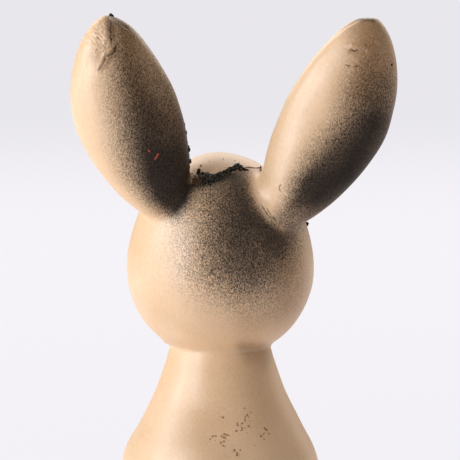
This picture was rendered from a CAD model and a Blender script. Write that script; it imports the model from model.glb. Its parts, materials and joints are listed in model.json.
"""Looks of the jointed soft-vinyl rabbit figure.

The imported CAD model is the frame. This script replaces its plain vinyl solids with finer skins,
sprays and wears them, gives the squeaker its plastics and brass, and sets up a plain studio.
Shapes are worked out in millimetres and turned to metres when a mesh is made. +Z is up, the rabbit
faces -Y and its own left side is +X. The camera looks at the rabbit's back.
"""

import json
import logging
import math
from dataclasses import dataclass
from enum import Enum

import bpy
import numpy as np
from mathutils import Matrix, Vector


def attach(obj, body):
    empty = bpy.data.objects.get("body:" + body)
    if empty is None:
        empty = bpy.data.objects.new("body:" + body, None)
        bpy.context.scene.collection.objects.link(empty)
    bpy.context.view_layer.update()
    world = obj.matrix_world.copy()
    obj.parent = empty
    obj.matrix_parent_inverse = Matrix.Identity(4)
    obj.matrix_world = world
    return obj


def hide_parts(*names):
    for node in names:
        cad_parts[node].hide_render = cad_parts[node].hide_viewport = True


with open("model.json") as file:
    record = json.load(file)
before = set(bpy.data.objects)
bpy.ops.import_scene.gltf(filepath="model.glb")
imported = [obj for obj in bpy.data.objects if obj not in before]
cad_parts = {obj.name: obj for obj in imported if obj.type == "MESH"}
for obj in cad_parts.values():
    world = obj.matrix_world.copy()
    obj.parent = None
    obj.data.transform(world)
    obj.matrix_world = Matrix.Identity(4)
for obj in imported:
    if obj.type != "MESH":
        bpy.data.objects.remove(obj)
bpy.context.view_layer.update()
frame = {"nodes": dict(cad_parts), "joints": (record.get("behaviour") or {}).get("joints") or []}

LOG = logging.getLogger("rabbit")
Array = np.ndarray
Pair = tuple[float, float]
Spot = Pair  # x and height as the camera sees them
Span = tuple[float, float, int]  # first and last of even steps, and their number
Wave = tuple[float, float, int]  # height, size and seed of an unevenness
Place = tuple[float, float, float]
Path = tuple[Spot, ...]
Socket = bpy.types.NodeSocket
Tree = bpy.types.NodeTree

MM = 0.001

# The camera's tilt, and the height that the tilt leaves in place. Spray and wear on the back are
# laid out in this view: x to the rabbit's left, and the height as the camera sees it.
VIEW_TILT = math.radians(6.0)
VIEW_LEVEL = 93.0

SHARP_ANGLE = math.radians(40.0)  # faces that turn more than this meet in a hard edge
WAVE_PITCH = (0.7, 1.7)  # shortest and longest wave of an unevenness, as shares of its size
FAR = 1e3  # distance that stands for no meeting along a ray
FLAT_STEP = 1e-6  # a ray that sinks less than this doesn't meet the plane below it
TINY = 1e-9  # keeps divisors away from zero
OUTSIDE = -9.0  # mark of a brushed coat where it isn't laid

# Sizes that two pieces share.
NECK_RADIUS = 15.0
NECK_LEAN = math.radians(13.0)
NECK_CALM = (0.5, 9.0)  # distances from the neck between which the skin's unevenness rises
HIP_X = 27.2
HIP_Z = 15.0


class Side(Enum):
    """A side of the rabbit, with the sign of its X."""

    LEFT = 1
    RIGHT = -1

    def node(self, part: str) -> str:
        """Name of this side's CAD node or body for a part."""
        return f"{self.name.lower()}_{part}"

    def flip(self) -> Array:
        """Factors that carry a point of the left side to this side."""
        return np.array([self.value, 1.0, 1.0])


class PaintKind(Enum):
    """How a coat of paint went on."""

    SPRAYED = "sprayed"  # its mark is a density from 0 to 1, which breaks up into specks
    BRUSHED = "brushed"  # its mark is the distance inside its edge, in millimetres
    SPECKED = "specked"  # its mark is the share of small cells that hold a dot


# Curves and noise


def smooth_step(low: float, high: float, value: Array) -> Array:
    """Rises from 0 at low to 1 at high along a cubic that is flat at both ends."""
    share = np.clip((value - low) / (high - low), 0.0, 1.0)
    return share * share * (3.0 - 2.0 * share)


def soft_max(a: Array, b: Array, blend: float) -> Array:
    """The larger of two values, rounded off where they come within blend of each other."""
    share = np.clip(0.5 + (a - b) / (2.0 * blend), 0.0, 1.0)
    return b + (a - b) * share + blend * share * (1.0 - share)


def soft_min(a: Array, b: Array, blend: float) -> Array:
    """The smaller of two values, rounded off where they come within blend of each other."""
    return -soft_max(-a, -b, blend)


def bell(distance: Array, width: float) -> Array:
    """A soft spot: 1 in the middle and falling off as the exponential of minus distance squared."""
    return np.exp(-((distance / width) ** 2))


def partings(across: Array, apart: float, width: float) -> Array:
    """Two soft grooves, each this far from the middle."""
    return bell(across - apart, width) + bell(across + apart, width)


def unit(vectors: Array) -> Array:
    """Vectors on the last axis brought to length one."""
    return vectors / np.maximum(np.linalg.norm(vectors, axis=-1, keepdims=True), TINY)


def around(columns: int) -> Array:
    """Even angles round a ring."""
    return np.arange(columns) * 2.0 * np.pi / columns


def crowded(low: float, high: float, rows: int) -> Array:
    """Shares of a length that lie close together at both ends, as half a cosine wave."""
    return 0.5 - 0.5 * np.cos(np.pi * np.linspace(low, high, rows))


def on_axis(height: float) -> Array:
    """Point of the Z axis."""
    return np.array([0.0, 0.0, height])


def ripple(points: Array, size: float, seed: int, waves: int = 28) -> Array:
    """Smooth unevenness: the sum of seeded plane waves, each about one size long.

    Args:
        points: Points in millimetres, with the coordinates on the last axis.
        size: Typical length of a wave.
        seed: Picks the directions and phases.
        waves: Number of waves.

    Returns:
        A value for each point, mostly between -1 and 1.
    """
    rng = np.random.default_rng(seed)
    heading = unit(rng.normal(size=(waves, points.shape[-1])))
    pitch = size * rng.uniform(*WAVE_PITCH, waves)
    phase = rng.uniform(0.0, 2.0 * np.pi, waves)
    turns = points @ (2.0 * np.pi * heading / pitch[:, None]).T + phase
    return np.cos(turns).sum(-1) / math.sqrt(waves)


def path_distance(spots: Array, path: Path) -> tuple[Array, Array]:
    """Distance of flat points from a broken line.

    Each leg is met at the foot of the perpendicular, held between the leg's two ends. The sign is
    that of the cross product of the leg and the offset.

    Args:
        spots: Points of two coordinates.
        path: Corners of the line.

    Returns:
        The signed distance to the nearest leg, and the share of the line's length at that place.
    """
    corners = np.asarray(path, float)
    leg = np.diff(corners, axis=0)
    size = np.linalg.norm(leg, axis=1)
    offset = spots[:, None, :] - corners[None, :-1]
    share = np.clip((offset * leg).sum(-1) / size**2, 0.0, 1.0)
    gap = np.linalg.norm(offset - share[..., None] * leg, axis=-1)
    side = leg[:, 0] * offset[..., 1] - leg[:, 1] * offset[..., 0]
    nearest = gap.argmin(1)
    rows = np.arange(len(spots))
    start = np.concatenate([[0.0], np.cumsum(size)[:-1]])
    along = (start[nearest] + share[rows, nearest] * size[nearest]) / size.sum()
    return np.copysign(gap, side)[rows, nearest], along


def as_seen(points: Array) -> Array:
    """Places points as the camera sees them: x, and the height tipped by the tilt.

    Args:
        points: Points in millimetres.

    Returns:
        Flat places.
    """
    height = (points[:, 2] - VIEW_LEVEL) * math.cos(VIEW_TILT)
    height += VIEW_LEVEL - points[:, 1] * math.sin(VIEW_TILT)
    return np.column_stack([points[:, 0], height])


# Shader nodes


def linear(hex_colour: str) -> tuple[float, float, float, float]:
    """Turns an sRGB hex value to a linear colour.

    Args:
        hex_colour: Value such as #E9C9A2.

    Returns:
        Red, green and blue, with full alpha.
    """
    value = np.array([int(hex_colour[i : i + 2], 16) / 255.0 for i in (1, 3, 5)])
    value = np.where(value <= 0.04045, value / 12.92, ((value + 0.055) / 1.055) ** 2.4)
    return (float(value[0]), float(value[1]), float(value[2]), 1.0)


def per_metre(size: float) -> float:
    """Scale of a pattern on Object coordinates whose features are this many millimetres."""
    return 1.0 / (size * MM)


def add_node(
    tree: Tree, kind: str, inputs: dict[str | int, object] | None = None, **settings: object
) -> bpy.types.Node:
    """Adds a shader node, then sets its settings and fills or links its inputs.

    Args:
        tree: Node tree of the material.
        kind: Type of the node, without its ShaderNode prefix.
        inputs: A value, or the output socket to link, by name or number of the input.
        **settings: Settings of the node by name.

    Returns:
        The new node.
    """
    node = tree.nodes.new("ShaderNode" + kind)
    for key, value in settings.items():
        setattr(node, key, value)
    for key, value in (inputs or {}).items():
        if isinstance(value, Socket):
            tree.links.new(value, node.inputs[key])
        else:
            node.inputs[key].default_value = value
    return node


def noise(
    tree: Tree, place: Socket, size: float, detail: float, stretch: Place | None = None
) -> Socket:
    """Adds a noise pattern.

    Args:
        tree: Node tree of the material.
        place: Object coordinates.
        size: Size of the pattern's features in millimetres.
        detail: Number of finer layers.
        stretch: Scale along each axis, below one where the pattern is drawn out.

    Returns:
        The pattern from 0 to 1.
    """
    if stretch:
        place = add_node(tree, "Mapping", {"Vector": place, "Scale": stretch}).outputs["Vector"]
    inputs = {"Vector": place, "Scale": per_metre(size), "Detail": detail}
    return add_node(tree, "TexNoise", inputs).outputs["Fac"]


def calculate(tree: Tree, operation: str, *values: Socket | float, clamp: bool = False) -> Socket:
    """Adds a calculation with one to three values, held between 0 and 1 on request."""
    inputs = dict(enumerate(values))
    return add_node(tree, "Math", inputs, operation=operation, use_clamp=clamp).outputs[0]


def remap(
    tree: Tree, value: Socket, source: Pair = (0.0, 1.0), target: Pair = (0.0, 1.0)
) -> Socket:
    """Adds a straight change from one range to another, held at both ends."""
    limits = dict(zip(("From Min", "From Max", "To Min", "To Max"), source + target))
    return add_node(tree, "MapRange", {"Value": value} | limits).outputs["Result"]


def mix(tree: Tree, share: Socket, lower: Socket | str, upper: str) -> Socket:
    """Adds a mix of two colours.

    Args:
        tree: Node tree of the material.
        share: Share of the upper colour.
        lower: Lower colour, as sRGB hex or a socket.
        upper: Upper colour as sRGB hex.

    Returns:
        The mixed colour.
    """
    under = linear(lower) if isinstance(lower, str) else lower
    inputs = {0: share, 6: under, 7: linear(upper)}
    return add_node(tree, "Mix", inputs, data_type="RGBA").outputs[2]


def relief(tree: Tree, height: Socket, strength: float, depth: float) -> Socket:
    """Adds a bump of a depth in millimetres, and hands back its normals."""
    inputs = {"Height": height, "Strength": strength, "Distance": depth * MM}
    return add_node(tree, "Bump", inputs).outputs["Normal"]


def new_material(name: str) -> tuple[bpy.types.Material, Tree, Socket]:
    """Makes an empty node material.

    Args:
        name: Name of the real material.

    Returns:
        The material, its tree and the surface socket of its output.
    """
    material = bpy.data.materials.new(name)
    material.use_nodes = True
    tree = material.node_tree
    tree.nodes.clear()
    return material, tree, add_node(tree, "OutputMaterial").inputs["Surface"]


# Finishes


@dataclass(frozen=True)
class Finish:
    """A real material, as a principled shader on Object coordinates."""

    name: str

    def inputs(self, tree: Tree, place: Socket) -> dict[str, object]:
        """Works out the shader's inputs.

        Args:
            tree: Node tree of the material.
            place: Object coordinates.

        Returns:
            A value or a socket by name of the input.
        """
        raise NotImplementedError

    def material(self) -> bpy.types.Material:
        """Builds the node material.

        Returns:
            The material.
        """
        material, tree, surface = new_material(self.name)
        place = add_node(tree, "TexCoord").outputs["Object"]
        shader = add_node(tree, "BsdfPrincipled", self.inputs(tree, place))
        tree.links.new(shader.outputs["BSDF"], surface)
        return material


@dataclass(frozen=True)
class Coat:
    """A coat of paint on the vinyl, laid where a mark of the mesh says."""

    mark: str
    colour: str
    kind: PaintKind = PaintKind.SPRAYED
    roughness: float = 0.46
    gloss: float = 0.5
    grain: float = 1.0


@dataclass(frozen=True)
class SoftVinyl(Finish):
    """Plasticised PVC, rotation-moulded and sprayed by hand.

    The skin is cream, a little yellowed in patches, with a low sheen and a faint orange peel from
    the mould. Sprayed paint is fine, matt and upright in its grain, and leaves small bare gaps.
    Small age specks lie here and there.
    """

    coats: tuple[Coat, ...] = ()
    cream: str = "#EECEA7"
    yellowed: str = "#DDBA8D"
    speck: str = "#7A5638"
    roughness: float = 0.38
    gloss: float = 0.9
    spray_grain: float = 0.35
    spray_stretch: float = 0.64
    spray_break: float = 3.6
    gap_noise: Pair = (0.28, 0.68)
    gap_mean: float = 0.55
    stain_size: float = 12.0
    stain_range: Pair = (0.82, 1.6)
    streak_size: float = 0.6
    streak_stretch: float = 0.45
    peel_size: float = 0.8
    peel_strength: float = 0.12
    peel_depth: float = 0.4
    speck_spacing: float = 6.0
    speck_share: float = 0.2
    speck_size: float = 0.05
    fox_spacing: float = 0.8
    fox_size: float = 0.6
    dot_spread: Pair = (1.0, 1.2)
    dot_edge: float = 0.4
    dot_cover: float = 0.8
    brush_edge: float = 0.14
    glow_share: float = 0.1
    glow_reach: Place = (1.0, 0.6, 0.35)
    glow_depth: float = 1.5

    def inputs(self, tree: Tree, place: Socket) -> dict[str, object]:
        """Works out the shader's inputs, with the vinyl's own colour under its coats in order.

        Args:
            tree: Node tree of the material.
            place: Object coordinates.

        Returns:
            A value or a socket by name of the input.
        """
        stain = noise(tree, place, self.stain_size, detail=5.0)
        streaks = noise(tree, place, self.streak_size, 2.0, (1.0, 1.0, self.streak_stretch))
        amount = remap(tree, calculate(tree, "ADD", stain, streaks), self.stain_range)
        colour = mix(tree, amount, self.cream, self.yellowed)
        specks = self.dots(tree, place, self.speck_spacing, self.speck_share, self.speck_size)
        colour = mix(tree, specks, colour, self.speck)
        grain = noise(tree, place, self.spray_grain, 1.5, (1.0, 1.0, self.spray_stretch))
        rough: Socket | float = self.roughness
        gloss: Socket | float = self.gloss
        for coat in self.coats:
            cover = self.cover(tree, coat, grain, place)
            colour = mix(tree, cover, colour, coat.colour)
            rough = add_node(tree, "Mix", {0: cover, 2: rough, 3: coat.roughness}).outputs[0]
            gloss = add_node(tree, "Mix", {0: cover, 2: gloss, 3: coat.gloss}).outputs[0]
        peel = noise(tree, place, self.peel_size, detail=2.0)
        return {
            "Base Color": colour,
            "Roughness": rough,
            "Specular IOR Level": gloss,
            "Normal": relief(tree, peel, self.peel_strength, self.peel_depth),
            "Subsurface Weight": self.glow_share,
            "Subsurface Radius": self.glow_reach,
            "Subsurface Scale": self.glow_depth * MM,
        }

    def dots(
        self, tree: Tree, place: Socket, spacing: float, share: Socket | float, largest: float
    ) -> Socket:
        """Works out scattered dots of mixed sizes, in a share of the cells of a Voronoi pattern.

        Args:
            tree: Node tree of the material.
            place: Object coordinates.
            spacing: Size of a cell in millimetres.
            share: Share of the cells that hold a dot, from 0 to 1.
            largest: Radius of the largest dots as a share of the spacing.

        Returns:
            The cover of the dots from 0 to 1.
        """
        cells = add_node(tree, "TexVoronoi", {"Vector": place, "Scale": per_metre(spacing)})
        chance = add_node(tree, "SeparateColor", {"Color": cells.outputs["Color"]}).outputs["Red"]
        chosen = calculate(tree, "ADD", chance, share)
        size = remap(tree, chosen, self.dot_spread, (0.0, largest))
        inside = calculate(tree, "SUBTRACT", size, cells.outputs["Distance"])
        return remap(tree, inside, (0.0, self.dot_edge * largest), (0.0, self.dot_cover))

    def cover(self, tree: Tree, coat: Coat, grain: Socket, place: Socket) -> Socket:
        """Works out where a coat hides what is under it.

        A sprayed coat's density d is broken up by the grain as d + k (g - m) d (1 - d), where g is
        0 in small gaps and 1 elsewhere, and m is its mean. So it is speckled in between and clean
        at both ends. A brushed coat has a sharp edge, and a specked coat is made of dots.

        Args:
            tree: Node tree of the material.
            coat: The coat of paint.
            grain: Fine noise from 0 to 1.
            place: Object coordinates.

        Returns:
            The cover from 0 to 1.
        """
        mark = add_node(tree, "Attribute", attribute_name=coat.mark).outputs["Fac"]
        if coat.kind is PaintKind.SPECKED:
            return self.dots(tree, place, self.fox_spacing, mark, self.fox_size)
        if coat.kind is PaintKind.BRUSHED:
            return remap(tree, mark, (-self.brush_edge, self.brush_edge))
        between = calculate(tree, "MULTIPLY", mark, calculate(tree, "SUBTRACT", 1.0, mark))
        swing = coat.grain * self.spray_break
        ends = (-swing * self.gap_mean, swing * (1.0 - self.gap_mean))
        broken = remap(tree, grain, self.gap_noise, ends)
        return calculate(tree, "MULTIPLY_ADD", between, broken, mark, clamp=True)


@dataclass(frozen=True)
class DriedCrust(Finish):
    """Brittle old glue and grime: nearly black, with brown crumbs and pale dusty grains."""

    name: str = "dried_glue_crust"
    dark: str = "#0A0807"
    brown: str = "#6E4C26"
    brown_range: Pair = (0.2, 0.6)
    dust: str = "#948A70"
    dust_range: Pair = (0.55, 0.68)
    dust_cover: float = 0.55
    grain: float = 0.7
    dust_grain: float = 0.45
    lump_strength: float = 0.8
    lump_depth: float = 0.4

    def inputs(self, tree: Tree, place: Socket) -> dict[str, object]:
        """Works out the shader's inputs, browner where the brown mark is high.

        Args:
            tree: Node tree of the material.
            place: Object coordinates.

        Returns:
            A value or a socket by name of the input.
        """
        lumps = noise(tree, place, self.grain, detail=3.0)
        mark = add_node(tree, "Attribute", attribute_name="brown").outputs["Fac"]
        share = remap(tree, calculate(tree, "MULTIPLY", lumps, mark), self.brown_range)
        colour = mix(tree, share, self.dark, self.brown)
        grains = noise(tree, place, self.dust_grain, detail=2.0)
        pale = remap(tree, grains, self.dust_range, (0.0, self.dust_cover))
        return {
            "Base Color": mix(tree, pale, colour, self.dust),
            "Roughness": 0.5,
            "Specular IOR Level": 0.25,
            "Normal": relief(tree, lumps, self.lump_strength, self.lump_depth),
        }


@dataclass(frozen=True)
class MouldedPlastic(Finish):
    """Injection-moulded polyethylene or polystyrene: even and waxy, with faint flow clouds."""

    colour: str
    cloud: str
    roughness: float
    cloud_size: float = 5.0
    cloud_strength: float = 0.1
    cloud_depth: float = 0.3

    def inputs(self, tree: Tree, place: Socket) -> dict[str, object]:
        """Works out the shader's inputs.

        Args:
            tree: Node tree of the material.
            place: Object coordinates.

        Returns:
            A value or a socket by name of the input.
        """
        clouds = noise(tree, place, self.cloud_size, detail=3.0)
        return {
            "Base Color": mix(tree, clouds, self.colour, self.cloud),
            "Roughness": self.roughness,
            "IOR": 1.52,
            "Normal": relief(tree, clouds, self.cloud_strength, self.cloud_depth),
        }


@dataclass(frozen=True)
class RolledBrass(Finish):
    """Thin rolled brass: a yellow metal with fine lines along the strip and a little tarnish."""

    name: str = "rolled_brass"
    bright: str = "#D2AE62"
    tarnish: str = "#94702F"
    line: float = 0.25
    drawn: Place = (0.05, 1.0, 1.0)
    roughness: Pair = (0.25, 0.45)

    def inputs(self, tree: Tree, place: Socket) -> dict[str, object]:
        """Works out the shader's inputs.

        Args:
            tree: Node tree of the material.
            place: Object coordinates.

        Returns:
            A value or a socket by name of the input.
        """
        lines = noise(tree, place, self.line, 2.0, self.drawn)
        return {
            "Base Color": mix(tree, lines, self.bright, self.tarnish),
            "Metallic": 1.0,
            "Roughness": remap(tree, lines, target=self.roughness),
        }


SPRAY = "#1E1815"
GRIME_COAT = Coat("grime", "#835C2C", grain=0.4)
SPRAY_COAT = Coat("spray", SPRAY, gloss=0.2)
HEAD_COATS = (
    Coat("blush", "#D98C78"),
    GRIME_COAT,
    Coat("spray", SPRAY, gloss=0.6),
    Coat("mouth", "#7A4A38", PaintKind.BRUSHED, 0.35),
    Coat("nose", "#B5665A", PaintKind.BRUSHED, 0.32),
    Coat("eye", "#14100F", PaintKind.BRUSHED, 0.16),
    Coat("glint", "#F2EEE6", PaintKind.BRUSHED, 0.25),
)
BODY_COATS = (GRIME_COAT, Coat("foxing", "#80522A", PaintKind.SPECKED))
EAR_COATS = (
    Coat("rose", "#D79A86"),
    GRIME_COAT,
    SPRAY_COAT,
    Coat("soot", "#17120F", gloss=0.2),
    Coat("fleck", "#B4532F", PaintKind.BRUSHED),
)


# Skins and pieces


@dataclass
class Skin:
    """A closed surface: a stack of rings of points, with a pole that closes each end.

    The rings run anticlockwise as seen from the end pole, so that the faces point outwards.
    """

    rings: Array
    start: Array
    end: Array

    @classmethod
    def capped(cls, rings: Array) -> "Skin":
        """The surface whose poles are the middles of its first and last rings."""
        return cls(rings, rings[0].mean(0), rings[-1].mean(0))

    def points(self) -> Array:
        """All points: the start pole, the rings one after the other, and the end pole."""
        return np.vstack([self.start, self.rings.reshape(-1, 3), self.end])

    def faces(self) -> tuple[Array, Array]:
        """Numbers the corners of the faces.

        Returns:
            Triangles of the two end fans, and quads between the rings.
        """
        rows, columns, _ = self.rings.shape
        ring = 1 + np.arange(rows * columns).reshape(rows, columns)
        after = np.roll(ring, -1, axis=1)
        last = rows * columns + 1
        fans = np.concatenate(
            [
                np.stack([np.zeros(columns, int), after[0], ring[0]], axis=1),
                np.stack([np.full(columns, last), ring[-1], after[-1]], axis=1),
            ]
        )
        quads = np.stack([ring[:-1], after[:-1], after[1:], ring[1:]], axis=-1)
        return fans, quads.reshape(-1, 4)

    def normals(self) -> Array:
        """Works out the normals as the cross product of the steps round and along.

        Returns:
            The outward direction at each point.
        """
        round_step = np.roll(self.rings, -1, axis=1) - np.roll(self.rings, 1, axis=1)
        out = unit(np.cross(round_step, np.gradient(self.rings, axis=0)))
        return np.vstack([unit(out[0].mean(0)), out.reshape(-1, 3), unit(out[-1].mean(0))])

    def with_points(self, points: Array) -> "Skin":
        """The same surface with its points moved to new places, in the order of points()."""
        return Skin(points[1:-1].reshape(self.rings.shape), points[0], points[-1])

    def pushed(self, distance: Array) -> "Skin":
        """The surface moved along its normals by a distance for each point."""
        return self.with_points(self.points() + self.normals() * distance[:, None])

    def on_side(self, side: Side) -> "Skin":
        """The surface of a left part carried to a side of the rabbit, still facing outwards."""
        rings = (self.rings * side.flip())[:, :: side.value]
        return Skin(rings, self.start * side.flip(), self.end * side.flip())


def lathe(radius: Array, height: Array, columns: int) -> Skin:
    """Surface of revolution about Z under a profile, closed on the axis at both ends.

    Args:
        radius: Radius at each point of the profile.
        height: Height at each point of the profile.
        columns: Points round each ring.

    Returns:
        The skin.
    """
    angle = around(columns)
    rings = np.empty((len(radius), columns, 3))
    rings[..., 0] = radius[:, None] * np.cos(angle)
    rings[..., 1] = radius[:, None] * np.sin(angle)
    rings[..., 2] = height[:, None]
    return Skin(rings, on_axis(height[0]), on_axis(height[-1]))


def sphere_exit(heading: Array, middle: Array, radius: float) -> Array:
    """Works out where rays from the origin leave a sphere: the larger root of its equation.

    Args:
        heading: Unit directions of the rays.
        middle: Middle of the sphere.
        radius: Radius of the sphere.

    Returns:
        The distance along each ray, or minus FAR on a miss.
    """
    reach = heading @ middle
    spare = reach**2 - middle @ middle + radius**2
    return np.where(spare > 0.0, reach + np.sqrt(np.maximum(spare, 0.0)), -FAR)


def plane_exit(step: Array, offset: float) -> Array:
    """Distance at which rays with this step reach a plane at a negative offset, or FAR."""
    return np.where(step < -FLAT_STEP, offset / np.minimum(step, -FLAT_STEP), FAR)


def add_object(name: str, data: bpy.types.ID) -> bpy.types.Object:
    """Adds an object to the scene.

    Args:
        name: Name of the object.
        data: Its mesh, lamp or camera.

    Returns:
        The object.
    """
    item = bpy.data.objects.new(name, data)
    bpy.context.scene.collection.objects.link(item)
    return item


def make_piece(
    name: str,
    skins: list[Skin],
    body: str,
    nodes: tuple[str, ...],
    finish: Finish,
    marks: dict[str, Array],
) -> bpy.types.Object:
    """Makes one smooth mesh of closed skins and hands it to the frame.

    Args:
        name: Name of the piece.
        skins: Surfaces in millimetres.
        body: CAD body that the piece moves with.
        nodes: CAD nodes that the piece stands for.
        finish: Finish of the piece.
        marks: A value for each point by attribute name, in the order of the skins' points.

    Returns:
        The new object.
    """
    points = [skin.points() for skin in skins]
    starts = np.cumsum([0] + [len(group) for group in points[:-1]])
    faces: list[list[int]] = []
    for start, skin in zip(starts, skins):
        fans, quads = skin.faces()
        faces += (fans + start).tolist() + (quads + start).tolist()
    mesh = bpy.data.meshes.new(name)
    mesh.from_pydata(np.vstack(points) * MM, [], faces)
    mesh.polygons.foreach_set("use_smooth", np.ones(len(mesh.polygons), bool))
    mesh.set_sharp_from_angle(angle=SHARP_ANGLE)
    for mark, values in marks.items():
        layer = mesh.attributes.new(mark, "FLOAT", "POINT")
        layer.data.foreach_set("value", np.asarray(values, np.float32))
    mesh.materials.append(finish.material())
    mesh.update()
    piece = add_object(name, mesh)
    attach(piece, body)
    if nodes:
        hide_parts(*nodes)
    LOG.info("%s: %d faces on body %s", name, len(faces), body)
    return piece


# Spray and wear


@dataclass(frozen=True)
class SprayStroke:
    """One pass of the spray gun, laid out as the camera sees the back."""

    path: Path
    width: float
    strength: float

    def density(self, spots: Array) -> Array:
        """Density at flat points: strongest on the path and falling off as a bell."""
        gap, _ = path_distance(spots, self.path)
        return self.strength * bell(gap, self.width)


@dataclass(frozen=True)
class ShadedSide:
    """Spray over all that lies on the camera's right of a line, as the camera sees the back.

    The line, the strength and the softness of the edge are given at a few heights.
    """

    heights: tuple[float, ...]
    line: tuple[float, ...]
    strength: tuple[float, ...]
    softness: tuple[float, ...]

    def density(self, spots: Array) -> Array:
        """Works out the density: a smooth step across the line times the strength there.

        Args:
            spots: Flat places in the camera's view.

        Returns:
            The density at each place.
        """
        line, strength, soft = (
            np.interp(spots[:, 1], self.heights, values)
            for values in (self.line, self.strength, self.softness)
        )
        return strength * smooth_step(-1.0, 1.0, (line - spots[:, 0]) / soft)


@dataclass(frozen=True)
class Groove:
    """A crack, dent or fold along a line, as the camera sees the back.

    A positive lip stands up on the camera's left of a line that runs down, and sinks on its right.
    """

    path: Path
    width: float
    depth: float = 0.0
    lip: float = 0.0
    dirt: float = 0.0
    ends: Pair = (-0.05, 0.12)
    lip_gain: float = 2.3  # brings the highest place of a lip to about its named height

    def share(self, spots: Array) -> tuple[Array, Array]:
        """Works out a bell across the line, which fades out at both ends.

        Args:
            spots: Flat places in the camera's view.

        Returns:
            The bell, and the signed distance in widths.
        """
        gap, along = path_distance(spots, self.path)
        fade = smooth_step(*self.ends, along) * smooth_step(*self.ends, 1.0 - along)
        return bell(gap, self.width) * fade, gap / self.width

    def height(self, spots: Array) -> Array:
        """Change of height at flat points: minus the depth, plus the lip times the distance."""
        share, off = self.share(spots)
        return share * (self.lip_gain * self.lip * off - self.depth)

    def density(self, spots: Array) -> Array:
        """Dirt that has settled in the line."""
        return self.dirt * self.share(spots)[0]


BACK_EDGE = (-4.0, 4.0)  # values of y between which the back's grime begins
BACK_GRIME = (
    SprayStroke(((-6.5, 70.2), (-14.0, 69.2)), 2.0, 0.4),
    SprayStroke(((-9.0, 67.4), (-13.4, 66.2)), 2.8, 0.34),
    SprayStroke(((-8.0, 78.0), (-16.0, 79.5)), 4.0, 0.22),
    SprayStroke(((-2.5, 110.0), (-4.0, 97.0)), 9.0, 0.42),
    SprayStroke(((-23.0, 98.0), (-24.0, 88.0)), 3.6, 0.18),
    SprayStroke(((-17.5, 99.0), (-20.4, 83.5)), 5.6, 0.46),
    SprayStroke(((6.0, 63.0), (4.0, 52.0)), 6.0, 0.14),
    SprayStroke(((-12.0, 62.0), (-13.0, 50.0)), 4.0, 0.08),
    SprayStroke(((8.5, 43.0), (1.0, 37.0)), 7.5, 0.27),
)


def layered(*densities: Array) -> Array:
    """Lays coats over each other: one minus the product of what each leaves bare.

    Args:
        *densities: Density of each coat.

    Returns:
        The density of all.
    """
    bare = np.ones_like(densities[0])
    for density in densities:
        bare = bare * (1.0 - np.clip(density, 0.0, 1.0))
    return 1.0 - bare


def laid(strokes: tuple[SprayStroke | ShadedSide | Groove, ...], spots: Array) -> Array:
    """Density of several strokes over each other at flat points."""
    return layered(*[stroke.density(spots) for stroke in strokes])


def back_grime(points: Array) -> Array:
    """Density of the brown grime of hands on the back of the head and the body."""
    return laid(BACK_GRIME, as_seen(points)) * smooth_step(*BACK_EDGE, points[:, 1])


# Head and body


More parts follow.
